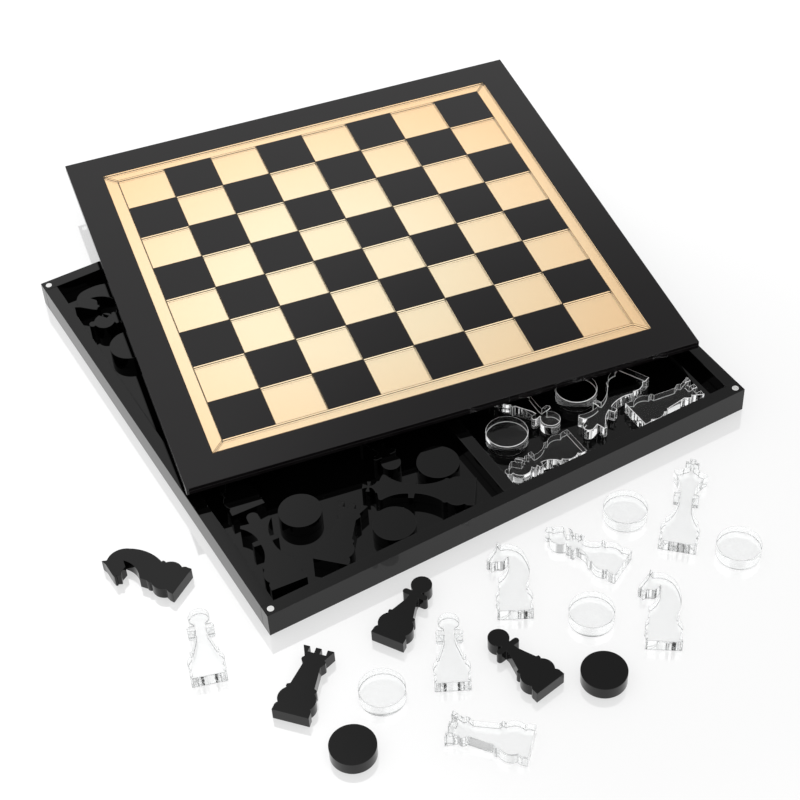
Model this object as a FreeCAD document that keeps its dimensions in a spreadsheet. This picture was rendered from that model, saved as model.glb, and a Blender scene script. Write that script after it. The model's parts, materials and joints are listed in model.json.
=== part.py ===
import FreeCAD, Part
import os
import math

# Chess set with board: a shallow acrylic tray in two compartments, a lid that is the inlaid
# playing board, flat chess pieces and round draughts cut from the same sheet as the tray.
# Frame: origin at the centre of the tray's underside, Z up, X along the front wall, Y to the back.
# Lengths are in millimetres, angles in degrees.

os.makedirs("parts", exist_ok=True)
doc = FreeCAD.newDocument("chess_set")
V = FreeCAD.Vector

VALUES = {
    "board_side": 381.0,       # outside of the tray and of the lid
    "stock": 9.5,              # sheet the tray and the pieces are cut from
    "wall_rise": 20.0,         # height of the tray walls
    "divider_x": -0.6,         # centre line of the divider
    "disc_dia": 30.0,
    "magnet_dia": 5.0,
    "magnet_deep": 2.5,
    "lid_sheet": 3.0,          # base panel, and the inlay layer on it
    "border_outer": 25.7,      # lid edge to the gold border
    "border_wide": 9.8,
    "lid_rest": 28.5,          # underside of the lid, on stacked pairs of discs
    "lid_x": 30.4,
    "lid_y": 76.5,
    "lid_turn": -10.5,
}
sheet = doc.addObject("Spreadsheet::Sheet", "dims")
for row, (alias, value) in enumerate(VALUES.items(), start=1):
    sheet.set("A%d" % row, alias)
    sheet.set("B%d" % row, str(value))
    sheet.setAlias("B%d" % row, alias)
doc.recompute()

SIDE = VALUES["board_side"]
STOCK = VALUES["stock"]
HALF = SIDE / 2.0
INNER = HALF - STOCK
RISE = VALUES["wall_rise"]
LAYER = VALUES["lid_sheet"]
LID = FreeCAD.Placement(
    V(VALUES["lid_x"], VALUES["lid_y"], VALUES["lid_rest"]),
    FreeCAD.Rotation(V(0, 0, 1), VALUES["lid_turn"]),
)
nodes = []


def bind(obj, **rules):
    for prop, rule in rules.items():
        obj.setExpression(prop, rule)


def box(name, size, corner):
    """A block whose size is given as three expressions."""
    block = doc.addObject("Part::Box", name)
    bind(block, Length=size[0], Width=size[1], Height=size[2])
    block.Placement.Base = V(*corner)
    return block


def rod(name, dia, tall, centre):
    pin = doc.addObject("Part::Cylinder", name)
    bind(pin, Radius=dia + " / 2", Height=tall)
    pin.Placement.Base = V(*centre)
    return pin


def bored(name, blank, holes):
    """The blank with one round pocket for each rod."""
    tool = doc.addObject("Part::MultiFuse", name + "_pockets")
    tool.Shapes = holes
    cut = doc.addObject("Part::Cut", name + "_cut")
    cut.Base = blank
    cut.Tool = tool
    return cut


def group(name, members):
    together = doc.addObject("Part::Compound", name + "_set")
    together.Links = members
    return together


def node(label, obj, place=None):
    obj.Label = label
    if place is not None:
        obj.Placement = place
    nodes.append(obj)
    return obj


# ---------------------------------------------------------------- tray
CORNERS = [(-1, -1), (1, -1), (-1, 1), (1, 1)]
MAGNET_AT = HALF - STOCK / 2.0


def magnets(name, corners, base_z, shift=0.0):
    return [
        rod("%s_%d" % (name, i), "dims.magnet_dia", "dims.magnet_deep",
            (sx * MAGNET_AT, sy * (MAGNET_AT + shift), base_z))
        for i, (sx, sy) in enumerate(corners)
    ]


POCKET_Z = RISE - VALUES["magnet_deep"]
node("tray_floor", box(
    "floor", ["dims.board_side - 2 * dims.stock"] * 2 + ["dims.stock"], (-INNER, -INNER, 0)))
for end, y0, corners in (("front", -HALF, CORNERS[:2]), ("back", INNER, CORNERS[2:])):
    blank = box(end, ["dims.board_side", "dims.stock", "dims.wall_rise"], (-HALF, y0, 0))
    node("tray_wall_" + end, bored(end, blank, magnets(end + "_seat", corners, POCKET_Z)))
for end, x0 in (("left", -HALF), ("right", INNER)):
    node("tray_wall_" + end, box(
        end, ["dims.stock", "dims.board_side - 2 * dims.stock", "dims.wall_rise"], (x0, -INNER, 0)))
node("tray_divider", box(
    "divider", ["dims.stock", "dims.board_side - 2 * dims.stock", "dims.wall_rise - dims.stock"],
    (VALUES["divider_x"] - STOCK / 2.0, -INNER, STOCK)))
node("tray_magnets", group("tray_magnets", magnets("tray_magnet", CORNERS, POCKET_Z)))

# ----------------------------------------------------------------- lid
# Drawn about its own centre with its underside at zero, then turned and set on the discs.
panel = box("panel", ["dims.board_side", "dims.board_side", "dims.lid_sheet"], (-HALF, -HALF, 0))
node("lid_panel", bored("panel", panel, magnets("lid_seat", CORNERS, 0.0)), LID)
node("lid_magnets", group("lid_magnets", magnets("lid_magnet", CORNERS, 0.0)), LID)

FIELD = HALF - VALUES["border_outer"] - VALUES["border_wide"]
FRAME = HALF - VALUES["border_outer"]
rim = box("surround", ["dims.board_side", "dims.board_side", "dims.lid_sheet"],
          (-HALF, -HALF, LAYER))
window = box("window", ["dims.board_side - 2 * dims.border_outer"] * 2 + ["dims.lid_sheet"],
             (-FRAME, -FRAME, LAYER))
surround = doc.addObject("Part::Cut", "surround_cut")
surround.Base = rim
surround.Tool = window
node("lid_surround", surround, LID)


def plate(name, edges, thickness, z0=0.0):
    """A flat piece cut along a closed run of edges."""
    outline = doc.addObject("Sketcher::SketchObject", name + "_outline")
    outline.addGeometry(edges, False)
    solid = doc.addObject("Part::Extrusion", name)
    solid.Base = outline
    solid.DirMode = "Custom"
    solid.Dir = V(0, 0, 1)
    solid.Solid = True
    bind(solid, LengthFwd=thickness)
    outline.Placement.Base = V(0, 0, z0)
    return solid


def polygon(points):
    ends = points[1:] + points[:1]
    return [Part.LineSegment(V(*a, 0), V(*b, 0)) for a, b in zip(points, ends)]


STRIP = [(-FRAME, -FRAME), (FRAME, -FRAME), (FIELD, -FIELD), (-FIELD, -FIELD)]
for quarter, end in enumerate(("front", "right", "back", "left")):
    strip = plate("border_" + end, polygon(STRIP), "dims.lid_sheet", LAYER)
    turn = FreeCAD.Placement(V(0, 0, 0), FreeCAD.Rotation(V(0, 0, 1), 90 * quarter))
    node("gold_border_" + end, strip, LID.multiply(turn))

SQUARE = "(dims.board_side - 2 * dims.border_outer - 2 * dims.border_wide) / 8"
STEP = FIELD / 4.0
tiles = {"black": [], "gold": []}
for col in range(8):
    for line in range(8):
        shade = "black" if (col + line) % 2 == 0 else "gold"
        tiles[shade].append(box(
            "%s_tile_%d%d" % (shade, col, line), [SQUARE, SQUARE, "dims.lid_sheet"],
            (-FIELD + col * STEP, -FIELD + line * STEP, LAYER)))
for shade, members in tiles.items():
    node(shade + "_squares", group(shade + "_squares", members), LID)

# -------------------------------------------------------------- pieces
# Each outline is drawn upright from the middle of its base. A run is a list of points; a pair
# of points joined by "via" is an arc through the middle one. Symmetric pieces give their right
# half only, from the base up to the tip.


def via(middle, end):
    return (middle, end)


def run(points):
    edges = []
    here = points[0]
    for step in points[1:]:
        if isinstance(step[0], tuple):
            middle, there = step
            edges.append(Part.Arc(V(*here, 0), V(*middle, 0), V(*there, 0)))
        else:
            there = step
            edges.append(Part.LineSegment(V(*here, 0), V(*there, 0)))
        here = there
    return edges


def flip(points):
    out = []
    for step in points:
        if isinstance(step[0], tuple):
            out.append(tuple((-x, y) for x, y in step))
        else:
            out.append((-step[0], step[1]))
    return out


def both_sides(half):
    return run(half) + run(flip(half))


def foot(base, belly, nub):
    """Plinth, rounded belly and the ledge over it; all pieces stand on one."""
    return [
        (0, 0), (base, 0), (base - 0.2, 3.0), via((base - 0.5, 5.2), (base - 1.6, 6.5)),
        via((belly, 12.3), (nub - 0.6, 18.4)), (nub, 19.4), (nub, 21.0),
    ]


def pawn():
    head = [(3.4, 41.9), via((7.0, 48.2), (0, 55.2))]
    collar = [(3.3, 37.1), (6.8, 37.1), via((8.9, 39.2), (6.8, 41.3)), (3.4, 41.3)]
    return both_sides(foot(11.6, 12.0, 9.5) + [(7.7, 21.6), (3.7, 33.6)] + collar + head)


def rook():
    crown = [(8.1, 41.6), (8.1, 42.9), (6.8, 44.3), (10.5, 52.4), (5.9, 52.4), (6.2, 48.1),
             (1.8, 48.1), (2.0, 52.4), (0, 52.4)]
    return both_sides(foot(12.3, 12.5, 10.1) + [(8.1, 22.0), (6.0, 38.4)] + crown)


def queen():
    collar = [(9.0, 39.6), (9.0, 43.4), (4.3, 43.8)]
    crown = [via((6.2, 51.6), (11.4, 58.6)), (10.5, 61.0), (4.3, 60.0), (4.2, 64.5),
             via((2.9, 67.6), (0, 68.7))]
    waist = [(9.2, 22.4), via((4.9, 31.0), (4.1, 39.4))]
    return both_sides(foot(12.7, 12.9, 10.7) + waist + collar + crown)


def king():
    collar = [(8.5, 41.2), (8.5, 45.0), (4.6, 45.3)]
    crown = [via((6.0, 53.4), (11.2, 62.2)), via((11.5, 64.2), (10.2, 65.2)), (5.4, 66.4),
             (5.2, 67.8), via((2.9, 68.9), (1.0, 70.8))]
    cross = [(0.9, 72.5), (4.6, 71.6), (4.6, 74.6), (0.9, 73.7), (2.3, 77.3), (0, 77.3)]
    waist = [(9.6, 22.2), via((5.2, 32.4), (4.2, 41.0))]
    return both_sides(foot(12.8, 13.2, 11.1) + waist + collar + crown + cross)


def bishop():
    """The mitre carries a slit that slopes down towards the middle, on one side only."""
    body = foot(12.2, 12.6, 10.1) + [
        (8.4, 21.8), via((4.9, 27.5), (4.2, 32.6)), (7.8, 32.8), (7.8, 35.4), (5.2, 36.4),
        (6.6, 37.4), (6.6, 39.2), (4.6, 40.2)]
    tip = [via((2.9, 56.4), (0, 58.5))]
    whole = body + [via((8.2, 46.0), (2.4, 54.3))] + tip
    slit = [via((7.4, 42.7), (8.2, 46.0)), (3.9, 42.1), (2.3, 44.2), (7.4, 49.0),
            via((5.7, 51.9), (2.4, 54.3))]
    return run(body + slit + tip) + run(flip(whole))


def knight():
    """Looks to the left; the back of the neck is one long sweep up to the ear."""
    back = foot(12.0, 12.3, 9.9)[1:] + [
        (8.7, 21.6), via((11.7, 34.5), (9.0, 47.4)), via((4.8, 53.4), (-2.5, 56.0)), (-6.4, 55.6)]
    head = [(-8.2, 58.4), (-9.4, 54.4), (-15.2, 45.0), (-16.2, 42.6), (-15.0, 41.6),
            (-14.6, 42.4), (-13.0, 39.6), (-10.4, 41.2), (-5.4, 41.0), (-1.6, 45.2)]
    chest = [via((-2.8, 35.6), (-9.6, 27.4)), (-9.2, 22.0)]
    front = flip(foot(11.6, 11.9, 9.9)[1:])
    rise = [front[-1], front[-2], (-9.3, 18.4), via((-11.9, 12.3), (-10.0, 6.5)),
            (-11.4, 3.0), (-11.6, 0), (12.0, 0)]
    return run(back + head + chest + rise)


OUTLINES = {"pawn": pawn, "rook": rook, "queen": queen, "king": king, "bishop": bishop,
            "knight": knight}


def piece(name, kind, x, y, heading, z):
    """A piece lying flat, the middle of its base at x, y and its head pointing along heading."""
    if kind == "disc":
        return rod(name, "dims.disc_dia", "dims.stock", (x, y, z))
    solid = plate(name, OUTLINES[kind](), "dims.stock")
    solid.Placement = FreeCAD.Placement(
        V(x, y, z), FreeCAD.Rotation(V(0, 0, 1), heading - 90))
    return solid


# Pieces lying on the table in front of the tray: kind, x, y, heading.
LOOSE = {
    "loose_rook_black": ("rook", -210.5, -257.5, 41.5),
    "loose_pawn_black_1": ("pawn", -130.5, -238.5, 32.0),
    "loose_pawn_black_2": ("pawn", -62.0, -323.5, 100.0),
    "loose_knight_black": ("knight", -222.0, -126.5, 122.5),
    "loose_disc_black_1": ("disc", -188.5, -297.5, 0),
    "loose_disc_black_2": ("disc", -28.0, -332.5, 0),
    "loose_king_clear": ("king", 72.0, -273.0, 45.5),
    "loose_bishop_clear": ("bishop", 32.0, -268.0, 117.0),
    "loose_knight_clear_1": ("knight", -49.5, -263.5, 61.0),
    "loose_knight_clear_2": ("knight", 16.5, -334.0, 54.5),
    "loose_rook_clear": ("rook", -95.0, -353.0, 134.0),
    "loose_pawn_clear_1": ("pawn", -240.5, -204.5, 72.0),
    "loose_pawn_clear_2": ("pawn", -113.0, -290.5, 62.0),
    "loose_disc_clear_1": ("disc", 61.5, -228.5, 0),
    "loose_disc_clear_2": ("disc", 106.0, -295.0, 0),
    "loose_disc_clear_3": ("disc", -7.5, -289.0, 0),
    "loose_disc_clear_4": ("disc", -152.5, -270.5, 0),
}

# Pieces lying on the floor of the tray where the lid leaves them in view.
STORED = {
    "stored_queen_black": ("queen", -165.5, -173.5, 85.0),
    "stored_king_black": ("king", -21.2, -169.9, 144.0),
    "stored_rook_black": ("rook", -134.0, -171.5, 44.5),
    "stored_knight_black": ("knight", -120.0, 145.5, 165.5),
    "stored_bishop_black_1": ("bishop", -119.0, 119.5, 172.0),
    "stored_bishop_black_2": ("bishop", -159.0, -101.5, 87.5),
    "stored_pawn_black": ("pawn", -56.0, -67.5, -90.0),
    "stored_disc_black_1": ("disc", -130.0, -121.0, 0),
    "stored_disc_black_2": ("disc", -28.5, -132.8, 0),
    "stored_disc_black_3": ("disc", -82.0, -165.0, 0),
    "stored_disc_black_4": ("disc", -160.0, 91.5, 0),
    "stored_queen_clear": ("queen", 136.0, -132.0, 206.0),
    "stored_bishop_clear": ("bishop", 63.5, -167.0, 180.0),
    "stored_rook_clear": ("rook", 112.0, -168.0, 0),
    "stored_pawn_clear": ("pawn", 47.0, -93.4, -75.0),
    "stored_disc_clear_1": ("disc", 27.0, -134.0, 0),
    "stored_disc_clear_2": ("disc", 92.0, -124.0, 0),
}

# The rest of the set, laid out under the lid. Discs are stacked in pairs and carry the lid.
UNDER_LID = {
    "hidden_pawns_black": ("pawn", 1, [
        (-108, -48, 90), (-80, -45, 90), (-54, -40, 90), (-26, -60, 90), (-36, 112, 90)]),
    "hidden_discs_black": ("disc", 2, [(-152, 8, 0), (-84, 112, 0), (-60, 52, 0)]),
    "hidden_pawns_clear": ("pawn", 1, [
        (26, -40, 90), (54, -30, 90), (82, -40, 90), (110, -60, 90), (150, -60, 90)]),
    "hidden_discs_clear": ("disc", 2, [(56, 112, 0), (120, 40, 0), (146, 118, 0)]),
}

for label, (kind, x, y, heading) in LOOSE.items():
    node(label, piece(label, kind, x, y, heading, 0.0))
for label, (kind, x, y, heading) in STORED.items():
    node(label, piece(label, kind, x, y, heading, STOCK))
for label, (kind, high, places) in UNDER_LID.items():
    members = []
    for i, (x, y, heading) in enumerate(places):
        for level in range(high):
            name = "%s_%d%d" % (label, i, level)
            members.append(piece(name, kind, x, y, heading, STOCK * (1 + level)))
    node(label, group(label, members))

doc.recompute()
for obj in doc.Objects:
    if "Invalid" in obj.State or "Error" in obj.State:
        raise RuntimeError("%s: %s" % (obj.Label, obj.State))
for obj in nodes:
    shape = obj.Shape
    if shape.isNull() or not shape.isValid():
        raise RuntimeError("bad shape: " + obj.Label)
    shape.exportStep("parts/%s.step" % obj.Label)
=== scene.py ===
import json
import math

import bmesh
import bpy
from mathutils import Matrix, Vector


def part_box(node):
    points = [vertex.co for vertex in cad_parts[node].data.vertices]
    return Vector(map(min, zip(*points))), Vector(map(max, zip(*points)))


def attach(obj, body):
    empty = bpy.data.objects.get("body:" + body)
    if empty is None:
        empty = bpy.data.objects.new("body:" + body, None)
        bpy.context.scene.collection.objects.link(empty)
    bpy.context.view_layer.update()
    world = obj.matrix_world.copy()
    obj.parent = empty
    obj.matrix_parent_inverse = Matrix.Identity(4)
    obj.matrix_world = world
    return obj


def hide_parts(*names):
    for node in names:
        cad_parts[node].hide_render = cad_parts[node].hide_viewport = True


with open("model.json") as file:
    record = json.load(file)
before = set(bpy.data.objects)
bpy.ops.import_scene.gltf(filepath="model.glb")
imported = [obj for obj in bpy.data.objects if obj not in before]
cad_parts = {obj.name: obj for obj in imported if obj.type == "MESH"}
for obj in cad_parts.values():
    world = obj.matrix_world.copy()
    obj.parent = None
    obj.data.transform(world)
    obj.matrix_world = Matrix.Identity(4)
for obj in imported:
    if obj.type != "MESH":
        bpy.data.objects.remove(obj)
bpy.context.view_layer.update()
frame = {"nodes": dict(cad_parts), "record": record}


NODES = frame["nodes"]
SLOT = {entry["node"]: entry["material_slot"] for entry in frame["record"]["subparts"]}
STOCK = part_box("tray_floor")[1].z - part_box("tray_floor")[0].z

JUST_INSIDE = STOCK / 10    # a step from a face into its solid
SQUARES_ACROSS = 8

# Arrises left by polishing the cut edges, in metres.
STRUCTURE_EDGE = 0.00042
PIECE_EDGE = 0.00025
TRAY_CLEAR_EDGE = 0.00036
TILE_EDGE = 0.00018
ARRIS_ANGLE = math.radians(25)    # a flatter corner has no arris

# Small distances, in metres.
JOINT = 0.00006        # half the open joint between two inlaid tiles
SKIRT = 0.00080        # adhesive that creeps up the sides of a gold tile
LIFT = 0.00008         # film of air under a clear piece in the tray
# Height of the painted contact shadow at the foot of a clear piece's cut side.
CONTACT_SHADE_HEIGHT = 0.0010          # darker foot of a clear piece's cut side
FLOOR_GAP = 0.0001     # keeps the floor and the tray out of one plane
WELD = 1e-6
FLAT_ANGLE = math.radians(0.05)

# Material slots of a clear piece, and of a gold tile.
FACE, SIDE, ARRIS, SHADED_UNDERSIDE = range(4)
BODY, FILM, DARK = range(3)

# The gold film: its tone deepens with distance from a spot fixed to the lid, where a painted
# highlight is palest; the film also has a faint painted glow.
LID_MIDDLE = (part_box("lid_panel")[0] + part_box("lid_panel")[1]) / 2
PAINTED_HIGHLIGHT_SPOT = LID_MIDDLE + Vector((-0.030, -0.020, 0))
HIGHLIGHT_WITHIN, HIGHLIGHT_GONE_BEYOND = 0.08, 0.22
# Tone of the film in the painted highlight and away from it, and the strength of its painted glow.
FILM_HIGHLIGHT, FILM_DEEP = (1.0, 0.855, 0.60), (0.99, 0.70, 0.40)
FILM_PAINTED_GLOW = 0.08

# Grey of the painted contact shadow at the foot of a clear piece's cut side.
CONTACT_SHADE_GREY = (0.16, 0.165, 0.165, 1)
ALONG_THE_CUT = (14.0, 14.0, 0.6)    # stretches marks down a cut side


# ------------------------------------------------------------ materials
def material(name):
    mat = bpy.data.materials.new(name)
    mat.use_nodes = True
    return mat, mat.node_tree.nodes, mat.node_tree.links, mat.node_tree.nodes["Principled BSDF"]


def noise(nodes, links, scale, detail=3.0, stretch=(1.0, 1.0, 1.0)):
    """Noise fixed to the object, in metres, stretched along its axes."""
    coords = nodes.new("ShaderNodeTexCoord")
    mapping = nodes.new("ShaderNodeMapping")
    mapping.inputs["Scale"].default_value = stretch
    texture = nodes.new("ShaderNodeTexNoise")
    texture.inputs["Scale"].default_value = scale
    texture.inputs["Detail"].default_value = detail
    links.new(coords.outputs["Object"], mapping.inputs["Vector"])
    links.new(mapping.outputs["Vector"], texture.inputs["Vector"])
    return texture.outputs["Fac"]


def spread(nodes, links, value, low, high, start=0.35, end=0.65):
    ramp = nodes.new("ShaderNodeMapRange")
    ramp.inputs["From Min"].default_value = start
    ramp.inputs["From Max"].default_value = end
    ramp.inputs["To Min"].default_value = low
    ramp.inputs["To Max"].default_value = high
    links.new(value, ramp.inputs["Value"])
    return ramp.outputs["Result"]


def tint(nodes, links, value, dark, light):
    mix = nodes.new("ShaderNodeMix")
    mix.data_type = "RGBA"
    mix.inputs[6].default_value = (*dark, 1)
    mix.inputs[7].default_value = (*light, 1)
    links.new(value, mix.inputs["Factor"])
    return mix.outputs[2]


def black_acrylic(name, dark, light, ior):
    """Polished black sheet: near-black body, a hard gloss with faint hand marks."""
    mat, nodes, links, shader = material(name)
    shader.inputs["IOR"].default_value = ior
    marks = noise(nodes, links, 28.0, 5.0, (1.0, 1.6, 1.0))
    links.new(tint(nodes, links, marks, dark, light), shader.inputs["Base Color"])
    links.new(spread(nodes, links, marks, 0.002, 0.016), shader.inputs["Roughness"])
    return mat


def clear_acrylic(name, ior, dark, light, roughness, stretch=(1.0, 1.0, 1.0), shade=0.93,
                  foot=None):
    """Clear cast sheet; daylight goes on through it, dimmed once at each face by shade.
    A cut side may have a darker foot, this high, where it meets what the piece lies on: a painted
    contact shadow."""
    mat, nodes, links, shader = material(name)
    shader.inputs["IOR"].default_value = ior
    shader.inputs["Transmission Weight"].default_value = 1.0
    marks = noise(nodes, links, 40.0, 4.0, stretch)
    colour = tint(nodes, links, marks, dark, light)
    # Painted contact shadow: the cut side greys towards its foot.
    if foot:
        coords = nodes.new("ShaderNodeTexCoord")
        split = nodes.new("ShaderNodeSeparateXYZ")
        links.new(coords.outputs["Object"], split.inputs["Vector"])
        above = spread(nodes, links, split.outputs["Z"], 0.0, 1.0, 0.3 * foot, foot)
        blend = nodes.new("ShaderNodeMix")
        blend.data_type = "RGBA"
        blend.inputs[6].default_value = CONTACT_SHADE_GREY
        links.new(above, blend.inputs["Factor"])
        links.new(colour, blend.inputs[7])
        colour = blend.outputs[2]
    links.new(colour, shader.inputs["Base Color"])
    links.new(spread(nodes, links, marks, *roughness), shader.inputs["Roughness"])
    passing = nodes.new("ShaderNodeLightPath")
    through = nodes.new("ShaderNodeBsdfTransparent")
    through.inputs["Color"].default_value = (shade, shade, shade, 1)
    mix = nodes.new("ShaderNodeMixShader")
    output = nodes["Material Output"]
    links.new(passing.outputs["Is Shadow Ray"], mix.inputs[0])
    links.new(shader.outputs["BSDF"], mix.inputs[1])
    links.new(through.outputs["BSDF"], mix.inputs[2])
    links.new(mix.outputs["Shader"], output.inputs["Surface"])
    return mat


def dressed_arris(name, clearness, dark, light):
    """The eased edge of a clear piece, half matt; its tone is painted light: a grey copy on the
    floor is painted shade, a near-white copy in the tray a painted highlight.
    """
    mat, nodes, links, shader = material(name)
    shader.inputs["IOR"].default_value = 1.42
    shader.inputs["Transmission Weight"].default_value = clearness
    marks = noise(nodes, links, 300.0, 3.0)
    links.new(tint(nodes, links, marks, dark, light), shader.inputs["Base Color"])
    links.new(spread(nodes, links, marks, 0.25, 0.40), shader.inputs["Roughness"])
    return mat


def gold_sheet():
    """The clear face of a mirror sheet: faintly gold all through."""
    mat, nodes, links, shader = material("gold mirror face")
    shader.inputs["IOR"].default_value = 1.40
    shader.inputs["Transmission Weight"].default_value = 1.0
    shader.inputs["Roughness"].default_value = 0.0
    marks = noise(nodes, links, 9.0, 3.0)
    links.new(tint(nodes, links, marks, (0.99, 0.975, 0.95), (1.0, 0.985, 0.97)),
              shader.inputs["Base Color"])
    return mat


def gold_backing():
    """The gold film under the sheet, with a painted highlight palest a little to the front left of
    the lid's middle, and a faint painted glow.
    """
    mat, nodes, links, shader = material("gold mirror film")
    shader.inputs["Metallic"].default_value = 1.0
    place = nodes.new("ShaderNodeTexCoord")
    away = nodes.new("ShaderNodeVectorMath")
    away.operation = "DISTANCE"
    away.inputs[1].default_value = PAINTED_HIGHLIGHT_SPOT
    links.new(place.outputs["Object"], away.inputs[0])
    # Painted highlight: the film is palest near the spot and deepens away from it.
    highlight_fade = spread(nodes, links, away.outputs["Value"], 0.0, 1.0, HIGHLIGHT_WITHIN, HIGHLIGHT_GONE_BEYOND)
    film = tint(nodes, links, highlight_fade, FILM_HIGHLIGHT, FILM_DEEP)
    links.new(film, shader.inputs["Base Color"])
    # Painted glow: the film emits its own tone, though it is no lamp.
    links.new(film, shader.inputs["Emission Color"])
    shader.inputs["Emission Strength"].default_value = FILM_PAINTED_GLOW
    marks = noise(nodes, links, 9.0, 3.0)
    links.new(spread(nodes, links, marks, 0.17, 0.19), shader.inputs["Roughness"])
    return mat


def joint_shade():
    """The dark line where a tile's eased edge meets its neighbour's."""
    mat, nodes, links, shader = material("gold tile joint")
    marks = noise(nodes, links, 120.0, 3.0)
    links.new(tint(nodes, links, marks, (0.030, 0.020, 0.006), (0.10, 0.065, 0.020)),
              shader.inputs["Base Color"])
    shader.inputs["Roughness"].default_value = 0.45
    return mat


def nickel():
    mat, nodes, links, shader = material("nickel plate")
    shader.inputs["Metallic"].default_value = 1.0
    marks = noise(nodes, links, 900.0, 2.0, (1.0, 0.15, 1.0))
    links.new(tint(nodes, links, marks, (0.72, 0.72, 0.71), (0.86, 0.86, 0.85)),
              shader.inputs["Base Color"])
    links.new(spread(nodes, links, marks, 0.16, 0.28), shader.inputs["Roughness"])
    return mat


BLACK_BODY = {"dark": (0.0004,) * 3, "light": (0.0010,) * 3, "ior": 1.35}

MATERIALS = {
    "tray_black": black_acrylic("tray black acrylic", **BLACK_BODY),
    "lid_black": black_acrylic("lid black acrylic", dark=(0.0030, 0.0024, 0.0027),
                               light=(0.0046, 0.0038, 0.0041), ior=1.34),
    "piece_black": black_acrylic("piece black acrylic", **BLACK_BODY),
    "clear_acrylic": clear_acrylic(
        "clear acrylic", ior=1.38, dark=(0.925, 0.93, 0.93), light=(0.95, 0.955, 0.955),
        roughness=(0.0, 0.010)),
    # The streaks along the cut are its own saw marks; the grey of this side on the floor, and its
    # darker foot, are painted shade.
    "clear_side_painted_shade": clear_acrylic(
        "clear acrylic cut side", ior=1.42, dark=(0.84, 0.85, 0.85),
        light=(0.96, 0.965, 0.965), roughness=(0.01, 0.08), stretch=ALONG_THE_CUT,
        shade=0.86, foot=CONTACT_SHADE_HEIGHT),
    "tray_side": clear_acrylic(
        "clear acrylic cut side in the tray", ior=1.49, dark=(0.97, 0.98, 0.98),
        light=(1.0, 1.0, 1.0), roughness=(0.0, 0.03), stretch=ALONG_THE_CUT, shade=0.95),
    # Painted shade: the underside of a clear piece in the tray is dark grey, so no reflection of
    # the tray floor shows through it.
    "underside_painted_shade": clear_acrylic(
        "clear acrylic underside, painted shade", ior=1.15, dark=(0.12, 0.12, 0.12),
        light=(0.16, 0.16, 0.16), roughness=(0.0, 0.004)),
    # Painted shade: grey arrises outline a clear piece on the floor.
    "clear_arris_painted_shade": dressed_arris(
        "clear acrylic arris", clearness=0.45, dark=(0.36, 0.37, 0.37),
        light=(0.76, 0.77, 0.77)),
    # Painted highlight: near-white arrises light the edges of a clear piece in the tray.
    "tray_arris_painted_highlight": dressed_arris(
        "clear acrylic arris in the tray", clearness=0.15, dark=(0.86, 0.86, 0.86),
        light=(1.0, 1.0, 1.0)),
    "gold_mirror": gold_sheet(),
    "gold_backing": gold_backing(),
    "gold_joint": joint_shade(),
    "magnet_nickel": nickel(),
}


# ------------------------------------------------------------- geometry
def body_of(node):
    for body, members in frame["record"]["behaviour"]["bodies"].items():
        if node in members:
            return body
    raise ValueError(node)


def welded(node):
    """The node's solids as closed meshes. Stacked solids touch, so each layer is welded alone.
    The points are welded in their own order, which makes every run give the same mesh."""
    shape = bmesh.new()
    shape.from_mesh(NODES[node].data)
    shape.normal_update()
    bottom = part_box(node)[0].z
    layers = {}
    for face in shape.faces:
        inside = face.calc_center_median().z - face.normal.z * JUST_INSIDE - bottom
        layer = int(inside / STOCK) if node.startswith("hidden_discs") else 0
        layers.setdefault(layer, set()).update(face.verts)
    for verts in layers.values():
        in_order = sorted(verts, key=lambda vert: vert.index)
        bmesh.ops.remove_doubles(shape, verts=in_order, dist=WELD)
    bmesh.ops.dissolve_limit(shape, angle_limit=FLAT_ANGLE, verts=shape.verts,
                             edges=shape.edges)
    mesh = bpy.data.meshes.new(node)
    shape.to_mesh(mesh)
    shape.free()
    return mesh


def dress(node, mesh, materials, edge, arris=-1):
    """Stands for the CAD node: eased edges in material arris, flat faces, its body's motion."""
    piece = bpy.data.objects.new("polished_" + node, mesh)
    bpy.context.scene.collection.objects.link(piece)
    for mat in materials:
        mesh.materials.append(mat)
    mesh.shade_smooth()
    ease = piece.modifiers.new("eased edges", "BEVEL")
    ease.width = edge
    ease.segments = 2
    ease.limit_method = "ANGLE"
    ease.angle_limit = ARRIS_ANGLE
    ease.material = arris
    flat = piece.modifiers.new("flat faces", "WEIGHTED_NORMAL")
    flat.weight = 100
    flat.keep_sharp = True
    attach(piece, body_of(node))
    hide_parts(node)


def polished(node):
    edge = PIECE_EDGE if node.startswith(("loose", "stored", "hidden")) else STRUCTURE_EDGE
    mesh = welded(node)
    if SLOT[node] == "clear_acrylic":
        clear(node, mesh, edge)
    else:
        dress(node, mesh, [MATERIALS[SLOT[node]]], edge)


def clear(node, mesh, edge):
    """A clear piece: polished faces, cut sides and matt arrises. On the floor its cut sides and
    arrises are greyed as painted shade; in the tray its arrises are near white as a painted
    highlight, and its underside is greyed as painted shade.
    """
    in_tray = not node.startswith("loose")
    if node.startswith("stored"):
        mesh.transform(Matrix.Translation((0, 0, LIFT)))
    for face in mesh.polygons:
        if abs(face.normal.z) < 0.5:
            face.material_index = SIDE
        # Painted shade: in the tray the underside gets the dark grey material.
        elif face.normal.z < 0 and in_tray:
            face.material_index = SHADED_UNDERSIDE
    names = ["clear_acrylic", "clear_side_painted_shade", "clear_arris_painted_shade", "underside_painted_shade"]
    if in_tray:
        edge = TRAY_CLEAR_EDGE
        # Painted highlight: near-white arrises in the tray.
        names[SIDE], names[ARRIS] = "tray_side", "tray_arris_painted_highlight"
    dress(node, mesh, [MATERIALS[name] for name in names], edge, arris=ARRIS)


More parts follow.
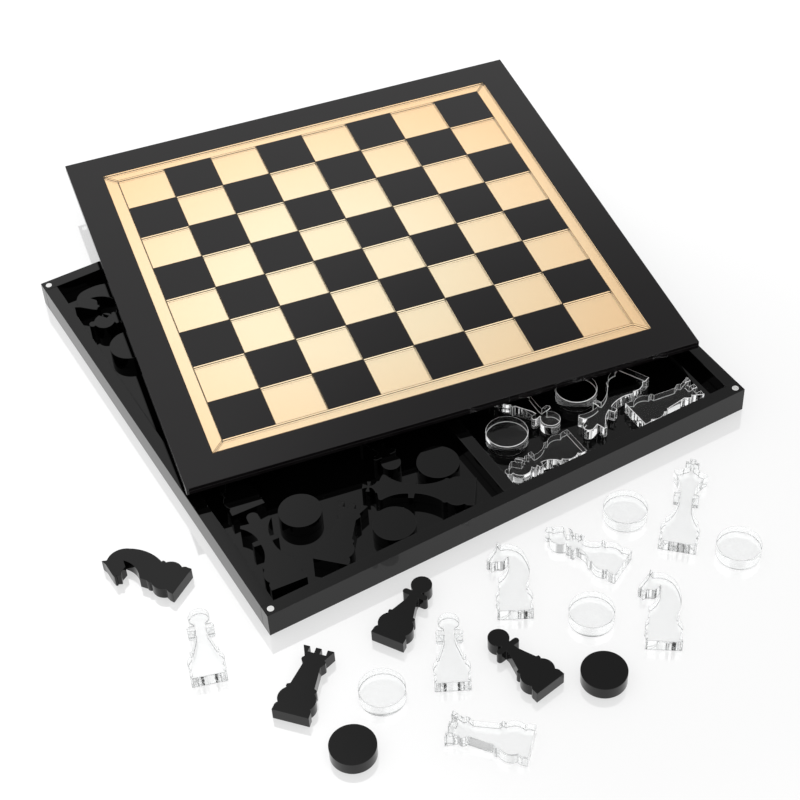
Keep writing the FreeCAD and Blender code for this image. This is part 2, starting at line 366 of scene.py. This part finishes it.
# ------------------------------------------------------------ lid inlay
def lid_axes():
    """The lid's centre, and unit vectors along its front edge and its left edge."""
    corners = [v.co.copy() for v in NODES["lid_panel"].data.vertices]
    left_front = min(corners, key=lambda c: c.x)
    right_front = min(corners, key=lambda c: c.y)
    across = (right_front - left_front).xy.normalized().to_3d()
    lo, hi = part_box("lid_panel")
    centre = Vector(((lo.x + hi.x) / 2, (lo.y + hi.y) / 2, 0))
    return centre, across, Vector((-across.y, across.x, 0))


CENTRE, ACROSS, BACKWARD = lid_axes()


def half_width(node):
    """Half the side of a square node that lies square to the lid."""
    return max(abs((v.co - CENTRE).dot(ACROSS)) for v in NODES[node].data.vertices)


def prism(shape, outline, z0, z1, skirt):
    """An upright prism on the lid. With a skirt: clear body, film below, dark foot."""
    place = [CENTRE + ACROSS * u + BACKWARD * v for u, v in outline]
    levels = [z0, z0 + skirt, z1] if skirt else [z0, z1]
    rings = [[shape.verts.new((p.x, p.y, z)) for p in place] for z in levels]
    shape.faces.new(rings[-1])
    shape.faces.new(rings[0][::-1]).material_index = FILM if skirt else BODY
    for low, high in zip(rings, rings[1:]):
        for i in range(len(low)):
            k = (i + 1) % len(low)
            side = shape.faces.new((low[i], low[k], high[k], high[i]))
            side.material_index = DARK if skirt and low is rings[0] else BODY


def inlay(node, outlines, materials):
    """One object of prisms: clear body, film and dark joint, or a single material."""
    shape = bmesh.new()
    lo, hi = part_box(node)
    for outline in outlines:
        prism(shape, outline, lo.z + JOINT, hi.z, SKIRT if len(materials) > 1 else 0)
    mesh = bpy.data.meshes.new(node)
    shape.to_mesh(mesh)
    shape.free()
    dress(node, mesh, materials, TILE_EDGE, len(materials) - 1)


FIELD = half_width("gold_squares")
BORDER = half_width("gold_border_front")
STEP = 2 * FIELD / SQUARES_ACROSS


def squares(odd):
    """Outlines of the squares of one colour, each drawn in by the joint round it."""
    for col in range(SQUARES_ACROSS):
        for row in range(SQUARES_ACROSS):
            if (col + row) % 2 == odd:
                u0 = -FIELD + col * STEP + JOINT
                v0 = -FIELD + row * STEP + JOINT
                u1 = u0 + STEP - 2 * JOINT
                v1 = v0 + STEP - 2 * JOINT
                yield [(u0, v0), (u1, v0), (u1, v1), (u0, v1)]


def mitred(quarter):
    """One strip of the border: the front one, turned in quarters about the lid's centre."""
    outer, inner = BORDER - JOINT, FIELD + JOINT
    shape = [(-outer + JOINT, -outer), (outer - JOINT, -outer),
             (inner - JOINT, -inner), (-inner + JOINT, -inner)]
    for _ in range(quarter):
        shape = [(-v, u) for u, v in shape]
    return shape


GOLD = [MATERIALS["gold_mirror"], MATERIALS["gold_backing"], MATERIALS["gold_joint"]]
inlay("gold_squares", squares(1), GOLD)
inlay("black_squares", squares(0), [MATERIALS["lid_black"]])
for quarter, end in enumerate(("front", "right", "back", "left")):
    inlay("gold_border_" + end, [mitred(quarter)], GOLD)

for name in sorted(NODES):
    if "squares" not in name and "border" not in name:
        polished(name)


# ---------------------------------------------------------------- floor
FLOOR_HALF = 6.0
FLOOR_GREY = 0.36
FLOOR_ROUGHNESS = 0.035
FLOOR_IOR = 2.9
FLOOR_GLOW = 0.53


def floor():
    half = FLOOR_HALF
    mesh = bpy.data.meshes.new("floor")
    mesh.from_pydata([(-half, -half, 0), (half, -half, 0), (half, half, 0), (-half, half, 0)],
                     [], [(0, 1, 2, 3)])
    plane = bpy.data.objects.new("floor", mesh)
    bpy.context.scene.collection.objects.link(plane)
    plane.location.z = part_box("tray_floor")[0].z - FLOOR_GAP
    mat, nodes, links, shader = material("white gloss floor")
    shader.inputs["Base Color"].default_value = (FLOOR_GREY, FLOOR_GREY, FLOOR_GREY, 1)
    shader.inputs["Roughness"].default_value = FLOOR_ROUGHNESS
    shader.inputs["IOR"].default_value = FLOOR_IOR
    shader.inputs["Emission Color"].default_value = (1, 1, 1, 1)
    shader.inputs["Emission Strength"].default_value = FLOOR_GLOW
    mesh.materials.append(mat)


floor()


# ---------------------------------------------------------------- light
TENT_STRENGTH, PANEL_STRENGTH = 1.12, 0.58
PANEL_AZIMUTH, PANEL_ELEVATION = 40.0, 50.0    # degrees, clockwise from the back
PANEL_OUTER, PANEL_INNER = 15.0, 5.0           # degrees from its middle, tent to panel


def sky():
    """A white tent with one dimmer panel, high at the back right."""
    world = bpy.data.worlds.new("studio")
    bpy.context.scene.world = world
    world.use_nodes = True
    nodes, links = world.node_tree.nodes, world.node_tree.links
    shade = nodes["Background"]
    shade.inputs["Color"].default_value = (1, 1, 1, 1)
    azimuth, elevation, outer, inner = (
        math.radians(a) for a in (PANEL_AZIMUTH, PANEL_ELEVATION, PANEL_OUTER, PANEL_INNER))
    panel = (math.sin(azimuth) * math.cos(elevation), math.cos(azimuth) * math.cos(elevation),
             math.sin(elevation))
    coords = nodes.new("ShaderNodeTexCoord")
    towards = nodes.new("ShaderNodeVectorMath")
    towards.operation = "DOT_PRODUCT"
    towards.inputs[1].default_value = panel
    glow = nodes.new("ShaderNodeMapRange")
    glow.interpolation_type = "SMOOTHSTEP"
    glow.inputs["From Min"].default_value = math.cos(outer)
    glow.inputs["From Max"].default_value = math.cos(inner)
    glow.inputs["To Min"].default_value = TENT_STRENGTH
    glow.inputs["To Max"].default_value = PANEL_STRENGTH
    links.new(coords.outputs["Generated"], towards.inputs[0])
    links.new(towards.outputs["Value"], glow.inputs["Value"])
    links.new(glow.outputs["Result"], shade.inputs["Strength"])


sky()


# --------------------------------------------------------------- camera
AIM = Vector((-0.0302, -0.1318, 0))    # from the tray's middle, in sides of the tray
CAMERA_TURNS = (-27.825, 45.101, -3.419)    # azimuth, elevation and roll, in degrees
CAMERA_AWAY = 3.4688    # in sides of the tray
LENS, SENSOR = 81.8, 36.0    # millimetres
CLIP_NEAR, CLIP_FAR = 0.05, 50.0


def camera():
    """Above and to the left of the front wall, looking down at 45 degrees."""
    lo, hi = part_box("tray_wall_front")
    back_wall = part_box("tray_wall_back")
    centre = Vector(((lo.x + hi.x) / 2, (lo.y + back_wall[1].y) / 2, lo.z))
    side = hi.x - lo.x
    target = centre + AIM * side
    azimuth, elevation, roll = (math.radians(a) for a in CAMERA_TURNS)
    away = CAMERA_AWAY * side
    back = Vector((math.sin(azimuth) * math.cos(elevation),
                   -math.cos(azimuth) * math.cos(elevation), math.sin(elevation)))
    right = Vector((0, 0, 1)).cross(back).normalized()
    up = back.cross(right)
    x_axis = right * math.cos(roll) + up * math.sin(roll)
    y_axis = up * math.cos(roll) - right * math.sin(roll)
    turn = Matrix((x_axis, y_axis, back)).transposed()
    lens = bpy.data.cameras.new("camera")
    lens.lens = LENS
    lens.sensor_width = SENSOR
    lens.clip_start = CLIP_NEAR
    lens.clip_end = CLIP_FAR
    eye = bpy.data.objects.new("camera", lens)
    bpy.context.scene.collection.objects.link(eye)
    eye.matrix_world = Matrix.Translation(target + back * away) @ turn.to_4x4()
    bpy.context.scene.camera = eye


camera()

scene = bpy.context.scene
scene.view_settings.view_transform = "Standard"
scene.cycles.max_bounces = 16
scene.cycles.transmission_bounces = 14
scene.cycles.glossy_bounces = 8
scene.cycles.transparent_max_bounces = 12
scene.cycles.caustics_reflective = True
scene.cycles.caustics_refractive = True
